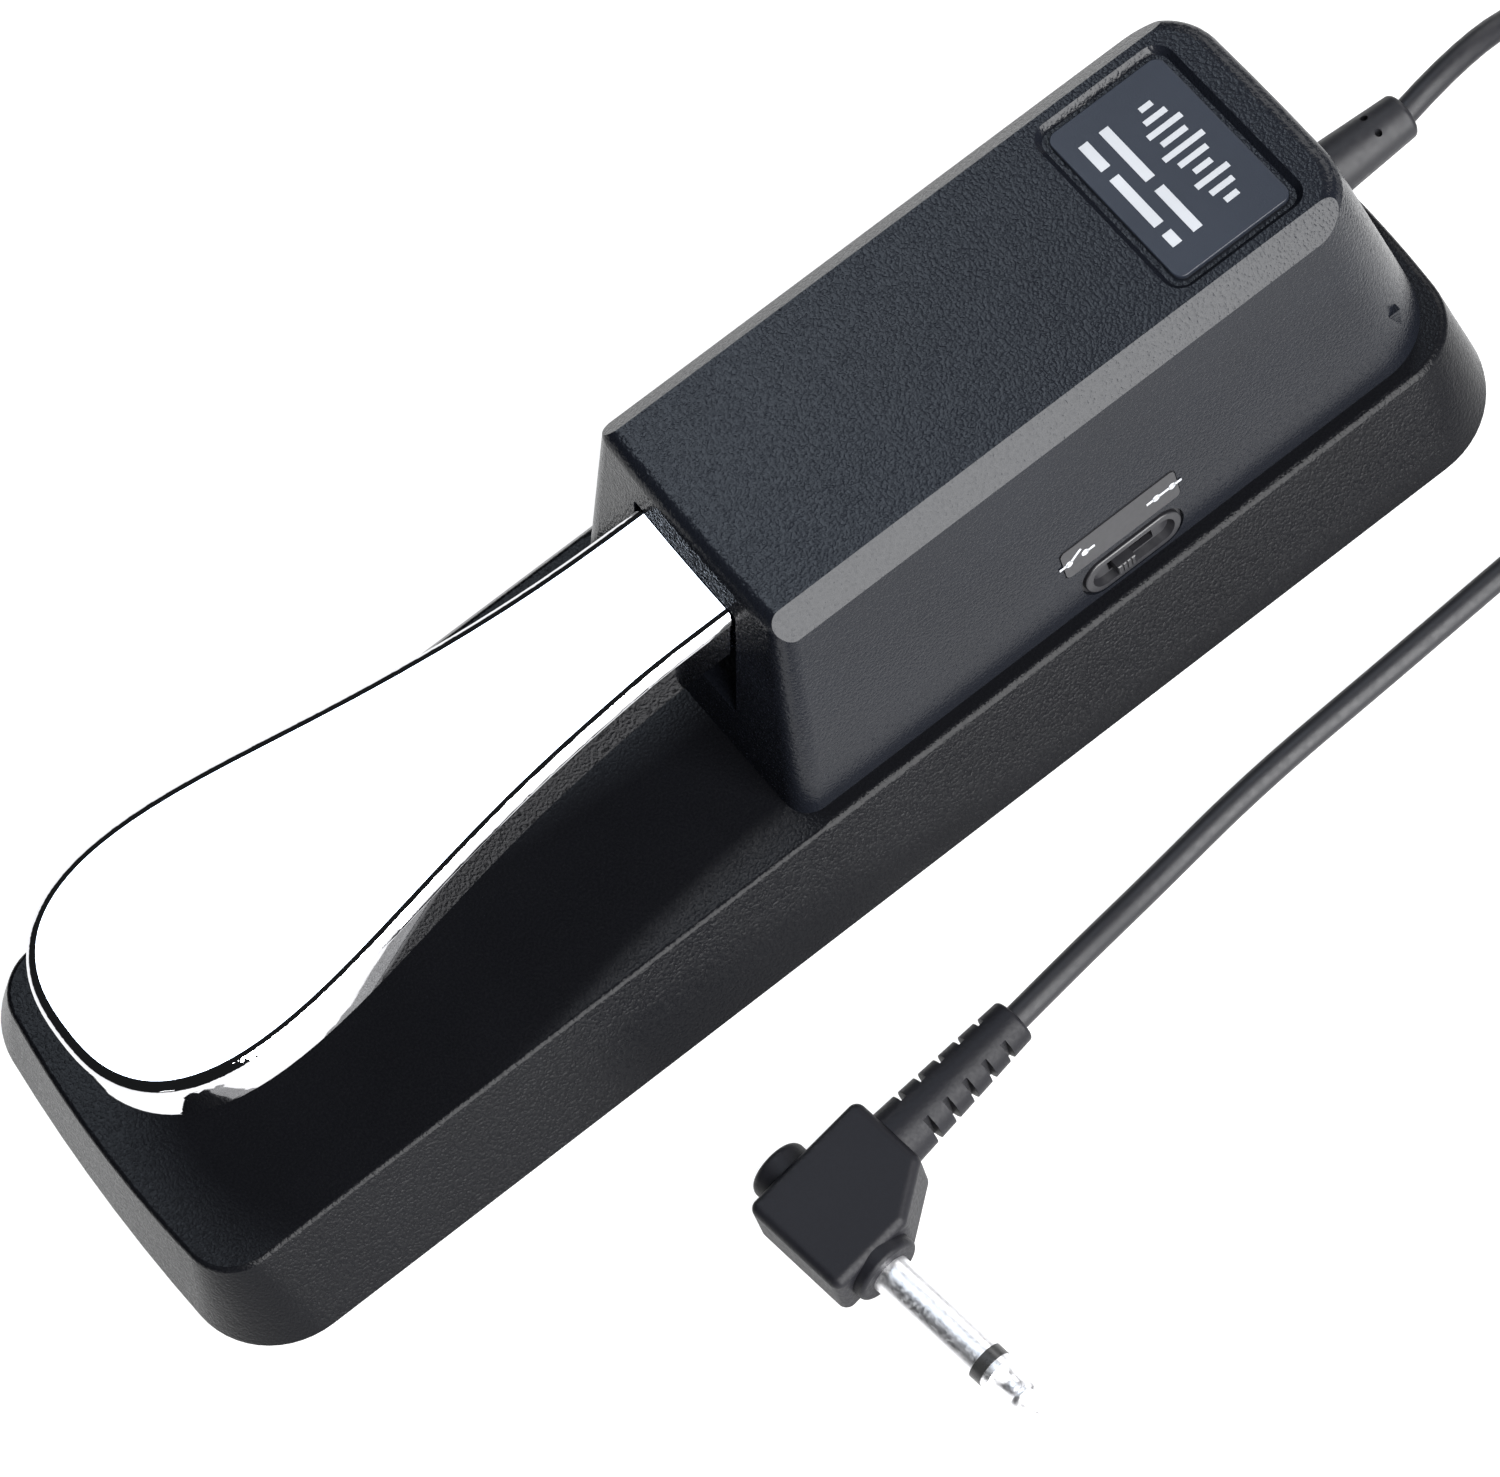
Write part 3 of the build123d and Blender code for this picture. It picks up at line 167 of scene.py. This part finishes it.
# ------------------------------------------------------------------ materials
def material(name, colour, roughness, metallic=0.0, specular=0.5):
    """A principled material and its node tree."""
    made = bpy.data.materials.new(name)
    made.use_nodes = True
    shader = made.node_tree.nodes["Principled BSDF"]
    shader.inputs["Base Color"].default_value = (*colour, 1.0)
    shader.inputs["Roughness"].default_value = roughness
    shader.inputs["Metallic"].default_value = metallic
    shader.inputs["Specular IOR Level"].default_value = specular
    return made


def noise(made, scale, detail=2.0, rough=0.5, stretch=None):
    """A noise texture in the row frame, scale features to the metre."""
    nodes, links = made.node_tree.nodes, made.node_tree.links
    place = nodes.new("ShaderNodeTexCoord")
    texture = nodes.new("ShaderNodeTexNoise")
    texture.inputs["Scale"].default_value = scale
    texture.inputs["Detail"].default_value = detail
    texture.inputs["Roughness"].default_value = rough
    if stretch is None:
        links.new(place.outputs["Object"], texture.inputs["Vector"])
    else:
        mapping = nodes.new("ShaderNodeMapping")
        mapping.inputs["Scale"].default_value = stretch
        links.new(place.outputs["Object"], mapping.inputs["Vector"])
        links.new(mapping.outputs["Vector"], texture.inputs["Vector"])
    return texture.outputs["Fac"]


def spread(made, value, low, high, from_low=0.3, from_high=0.7):
    """A value spread from low to high."""
    node = made.node_tree.nodes.new("ShaderNodeMapRange")
    node.inputs["From Min"].default_value = from_low
    node.inputs["From Max"].default_value = from_high
    node.inputs["To Min"].default_value = low
    node.inputs["To Max"].default_value = high
    made.node_tree.links.new(value, node.inputs["Value"])
    return node.outputs["Result"]


def blend_colours(made, value, dark, light):
    """A colour between two, by a value."""
    node = made.node_tree.nodes.new("ShaderNodeMix")
    node.data_type = "RGBA"
    node.inputs["A"].default_value = (*dark, 1.0)
    node.inputs["B"].default_value = (*light, 1.0)
    made.node_tree.links.new(value, node.inputs["Factor"])
    return node.outputs["Result"]


def set_input(made, name, output):
    """Feeds an input of the material's shader."""
    made.node_tree.links.new(output, made.node_tree.nodes["Principled BSDF"].inputs[name])


def bump(made, height, distance):
    """A bump from a height, distance metres deep."""
    node = made.node_tree.nodes.new("ShaderNodeBump")
    node.inputs["Strength"].default_value = 1.0
    node.inputs["Distance"].default_value = distance
    made.node_tree.links.new(height, node.inputs["Height"])
    set_input(made, "Normal", node.outputs["Normal"])


CLOUD_SCALE = 60.0
PLAIN_GRAIN = 900.0


def grained_plastic(name, colour, roughness, grain, depth, specular=0.5):
    """Moulded plastic with a fine etched grain, at grain features to the metre, depth metres deep."""
    made = material(name, colour, roughness, specular=specular)
    cloud = noise(made, CLOUD_SCALE, 3.0)
    tone = blend_colours(made, cloud, [c * 0.85 for c in colour], [c * 1.2 for c in colour])
    set_input(made, "Base Color", tone)
    fine = noise(made, grain, 1.0, 0.5)
    set_input(made, "Roughness", spread(made, fine, roughness - 0.05, roughness + 0.07))
    bump(made, fine, depth)
    return made


def plain_plastic(name, colour, roughness, depth=0.00001, specular=0.5):
    """Smooth moulded plastic with a faint texture."""
    return grained_plastic(name, colour, roughness, PLAIN_GRAIN, depth, specular)


def metal(name, colour, roughness, stretch=None, scale=1500.0, depth=0.0):
    """Bare or plated metal with fine marks, stretched by stretch where they are brushed."""
    made = material(name, colour, roughness, metallic=1.0)
    marks = noise(made, scale, 3.0, 0.6, stretch)
    set_input(made, "Roughness", spread(made, marks, roughness * 0.75, roughness * 1.35))
    if depth:
        bump(made, marks, depth)
    return made


finish = {
    "base_plastic": grained_plastic("base_plastic", (0.0035, 0.0037, 0.0047), 0.27, 2100.0, 0.00009, 0.11),
    "housing_plastic": grained_plastic(
        "housing_plastic", (0.0050, 0.0058, 0.0084), 0.25, 1900.0, 0.00010, 0.21
    ),
    "label_face": grained_plastic("label_face", (0.015, 0.018, 0.026), 0.35, 4000.0, 0.00001, 0.25),
    "switch_sticker": plain_plastic("switch_sticker", (0.02, 0.02, 0.022), 0.35),
    "lever_chrome": metal("lever_chrome", (0.72, 0.72, 0.74), 0.02, None, 40.0),
    "zinc_sheet": metal("zinc_sheet", (0.62, 0.63, 0.65), 0.35, (1, 8, 1), 900.0, 0.00001),
    "plate_steel": grained_plastic("plate_steel", (0.03, 0.03, 0.03), 0.45, 1500.0, 0.00002),
    "ground_steel": metal("ground_steel", (0.60, 0.60, 0.62), 0.2),
    "spring_steel": metal("spring_steel", (0.45, 0.45, 0.47), 0.28),
    "screw_steel": metal("screw_steel", (0.25, 0.25, 0.26), 0.35),
    "tinned_brass": metal("tinned_brass", (0.70, 0.66, 0.52), 0.3),
    "sole_rubber": grained_plastic("sole_rubber", (0.02, 0.02, 0.02), 0.75, 1200.0, 0.00008),
    "felt": grained_plastic("felt", (0.08, 0.08, 0.08), 0.95, 3000.0, 0.0003),
    "nylon": plain_plastic("nylon", (0.75, 0.74, 0.70), 0.4),
    "black_nylon": plain_plastic("black_nylon", (0.012, 0.012, 0.014), 0.35),
    "switch_plastic": plain_plastic("switch_plastic", (0.05, 0.05, 0.055), 0.4),
    "red_plastic": plain_plastic("red_plastic", (0.45, 0.04, 0.03), 0.35),
    "circuit_laminate": plain_plastic("circuit_laminate", (0.05, 0.20, 0.09), 0.3),
    "cord_vinyl": plain_plastic("cord_vinyl", (0.010, 0.010, 0.012), 0.45, specular=0.30),
    "tie_vinyl": plain_plastic("tie_vinyl", (0.02, 0.02, 0.02), 0.5),
    "plug_vinyl": grained_plastic("plug_vinyl", (0.006, 0.006, 0.008), 0.48, 1800.0, 0.00003, 0.18),
    "plug_nickel": metal("plug_nickel", (0.95, 0.95, 0.97), 0.38),
    "plug_ring": plain_plastic("plug_ring", (0.02, 0.02, 0.02), 0.3),
    "wire_red": plain_plastic("wire_red", (0.5, 0.03, 0.03), 0.35),
    "wire_white": plain_plastic("wire_white", (0.75, 0.75, 0.73), 0.35),
    "wire_black": plain_plastic("wire_black", (0.02, 0.02, 0.02), 0.35),
}
slot_of = {s["node"]: s["material_slot"] for s in frame["record"]["subparts"]}
for node, piece in frame["nodes"].items():
    piece.data.materials.clear()
    piece.data.materials.append(finish[slot_of.get(node, "base_plastic")])
lead.data.materials.append(finish["cord_vinyl"])

# ------------------------------------------------------------------ return spring
# the lever presses the spring's top end down as it turns; the spring here is its own copy of the CAD mesh,
# attached to the base
spring = bpy.data.objects.new("spring_coil", frame["nodes"]["return_spring"].data.copy())
scene.collection.objects.link(spring)
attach(spring, "base")
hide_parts("return_spring")
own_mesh(spring)


# ------------------------------------------------------------------ printed marks
PRINT_THICKNESS = 0.00004
FLAT_WITHIN = 0.00002  # corners this near a face's plane belong to it


def bar(x, y, long, high, angle=0.0):
    """A rectangle's corners in the print's own plane, centred on x, y."""
    across, aside = math.cos(angle), math.sin(angle)
    u, v = long / 2, high / 2
    corners = ((-u, -v), (u, -v), (u, v), (-u, v))
    return [(x + a * across - b * aside, y + a * aside + b * across) for a, b in corners]


def disc(x, y, radius, sides=24):
    """A disc's rim in the print's own plane."""
    return [
        (x + radius * math.cos(2 * math.pi * i / sides), y + radius * math.sin(2 * math.pi * i / sides))
        for i in range(sides)
    ]


def printed(name, outlines, origin, along, up):
    """Thin closed patches of ink on the base, one per outline, on the plane through origin."""
    out = along.cross(up).normalized()
    mesh = bpy.data.meshes.new(name)
    shape = bmesh.new()
    for outline in outlines:
        low = [shape.verts.new(origin + along * u + up * v) for u, v in outline]
        high = [shape.verts.new(vertex.co + out * PRINT_THICKNESS) for vertex in low]
        shape.faces.new(high)
        shape.faces.new(low[::-1])
        for i in range(len(low)):
            j = (i + 1) % len(low)
            shape.faces.new((low[i], low[j], high[j], high[i]))
    shape.to_mesh(mesh)
    shape.free()
    mesh.materials.append(print_ink)
    piece = bpy.data.objects.new(name, mesh)
    scene.collection.objects.link(piece)
    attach(piece, "base")


def broad_face(node, towards):
    """Middle and outward direction of a node's broadest flat face on the side that towards points to."""
    mesh = frame["nodes"][node].data
    faces = [p for p in mesh.polygons if p.normal.dot(towards) > 0.7]
    normal = max(faces, key=lambda p: p.area).normal.copy()
    corners = [mesh.vertices[i].co for p in faces for i in p.vertices]
    reach = max(corner.dot(normal) for corner in corners)
    flat = [corner for corner in corners if corner.dot(normal) > reach - FLAT_WITHIN]
    low = Vector([min(v[k] for v in flat) for k in range(3)])
    high = Vector([max(v[k] for v in flat) for k in range(3)])
    return (low + high) / 2, normal


print_ink = plain_plastic("print_ink", (0.34, 0.35, 0.37), 0.45)

# the name plate has a plain row of level bars and two plain rules where a real one is lettered
label_middle = broad_face("label_plate", Vector((0, 0, 1)))[0]
LEVEL_HEIGHTS = (2.2, 4.0, 6.2, 4.6, 7.4, 5.2, 3.2, 6.0, 4.2, 2.4)
LEVEL_PITCH, LEVEL_WIDTH, LEVEL_ROW = 2.2, 1.0, 3.8
marks = [
    bar((i - (len(LEVEL_HEIGHTS) - 1) / 2) * LEVEL_PITCH * MM, LEVEL_ROW * MM, LEVEL_WIDTH * MM, tall * MM)
    for i, tall in enumerate(LEVEL_HEIGHTS)
]
RULE_THICKNESS = 1.7
# each row is its height on the plate, then the middle and length of each rule in it
RULE_ROWS = (
    (-3.2, ((-5.6, 11.0), (6.4, 9.0))),
    (-7.0, ((-8.4, 5.4), (1.4, 10.4), (9.6, 2.6))),
)
for row, rules in RULE_ROWS:
    marks += [bar(x * MM, row * MM, long * MM, RULE_THICKNESS * MM) for x, long in rules]
printed("label_marks", marks, label_middle, Vector((1, 0, 0)), Vector((0, 1, 0)))

# the switch's two settings are shown as an open contact and a closed one
strip_middle, strip_out = broad_face("switch_label", Vector((1, 0, 0)))
strip_along = Vector((0, 1, 0))
strip_up = strip_out.cross(strip_along).normalized()
CONTACT_OFFSET = 8.2  # from the strip's middle to each symbol's
LINE, DOT = 0.5, 0.65
WIRE_LONG, WIRE_AT, DOT_AT = 1.6, 2.5, 1.5
BLADE_ANGLE = math.radians(32)


def contact(x, blade):
    """A contact symbol at x: a wire and a dot on each side, and this blade, in millimetres."""
    at, rise, long, angle = blade
    return [
        bar((x - WIRE_AT) * MM, 0.0, WIRE_LONG * MM, LINE * MM),
        disc((x - DOT_AT) * MM, 0.0, DOT * MM),
        bar((x + at) * MM, rise * MM, long * MM, LINE * MM, angle),
        disc((x + DOT_AT) * MM, 0.0, DOT * MM),
        bar((x + WIRE_AT) * MM, 0.0, WIRE_LONG * MM, LINE * MM),
    ]


open_contact = contact(-CONTACT_OFFSET, (-0.1, 0.85, 2.6, BLADE_ANGLE))
closed_contact = contact(CONTACT_OFFSET, (0.0, 0.0, 2.4, 0.0))
printed(
    "switch_marks", open_contact + closed_contact, strip_middle, strip_along, strip_up
)

# ------------------------------------------------------------------ floor and lights
floor_mesh = bpy.data.meshes.new("floor")
FLOOR_HALF = 3.0
FLOOR_DROP = 0.0001  # just under the mat
floor_mesh.from_pydata(
    [(x * FLOOR_HALF, y * FLOOR_HALF, 0) for x, y in ((-1, -1), (1, -1), (1, 1), (-1, 1))],
    [],
    [(0, 1, 2, 3)],
)
floor = bpy.data.objects.new("floor", floor_mesh)
scene.collection.objects.link(floor)
floor_paint = material("floor_paint", (0.25, 0.25, 0.25), 0.8, specular=0.0)
floor_shader = floor_paint.node_tree.nodes["Principled BSDF"]
floor_shader.inputs["Emission Color"].default_value = (1, 1, 1, 1)
floor_shader.inputs["Emission Strength"].default_value = 0.92
floor_mesh.materials.append(floor_paint)
floor.location.z = -FLOOR_DROP

world = bpy.data.worlds.new("studio")
scene.world = world
world.use_nodes = True
world.node_tree.nodes["Background"].inputs["Color"].default_value = (0.9, 0.95, 1.0, 1.0)
world.node_tree.nodes["Background"].inputs["Strength"].default_value = 0.015


def panel(name, centre, facing, width, height, radiance, tint=(1.0, 1.0, 1.0)):
    """A rectangular light, facing the way given; radiance is how bright its face looks."""
    light = bpy.data.lights.new(name, "AREA")
    light.shape = "RECTANGLE"
    light.size, light.size_y = width, height
    light.energy = radiance * math.pi * width * height
    light.color = tint
    lamp = bpy.data.objects.new(name, light)
    scene.collection.objects.link(lamp)
    lamp.location = centre
    lamp.rotation_euler = (-Vector(facing)).to_track_quat("Z", "Y").to_euler()


# the overhead panel ends just beyond what the flat of the lever reflects, so its edge stays dark
panel("overhead", (-0.635, 0.03, 1.2), (0, 0, -1), 0.43, 0.82, 6.0, (0.78, 0.88, 1.0))
# a tall panel leans over the right side, and is what the long bevel there reflects
panel("right_side", (0.95, 0.22, 0.62), (-0.84, 0, -0.54), 0.90, 1.50, 14.0)
# from behind, along the plug's barrel
panel("rear_fill", (-0.50, 1.25, 0.80), (0.36, -0.80, -0.48), 1.10, 0.60, 3.5)
# a small bright spot for the rim of the toe
panel("toe_glint", (0.72, -0.92, 0.30), (-0.60, 0.76, -0.22), 0.16, 0.10, 3.0)
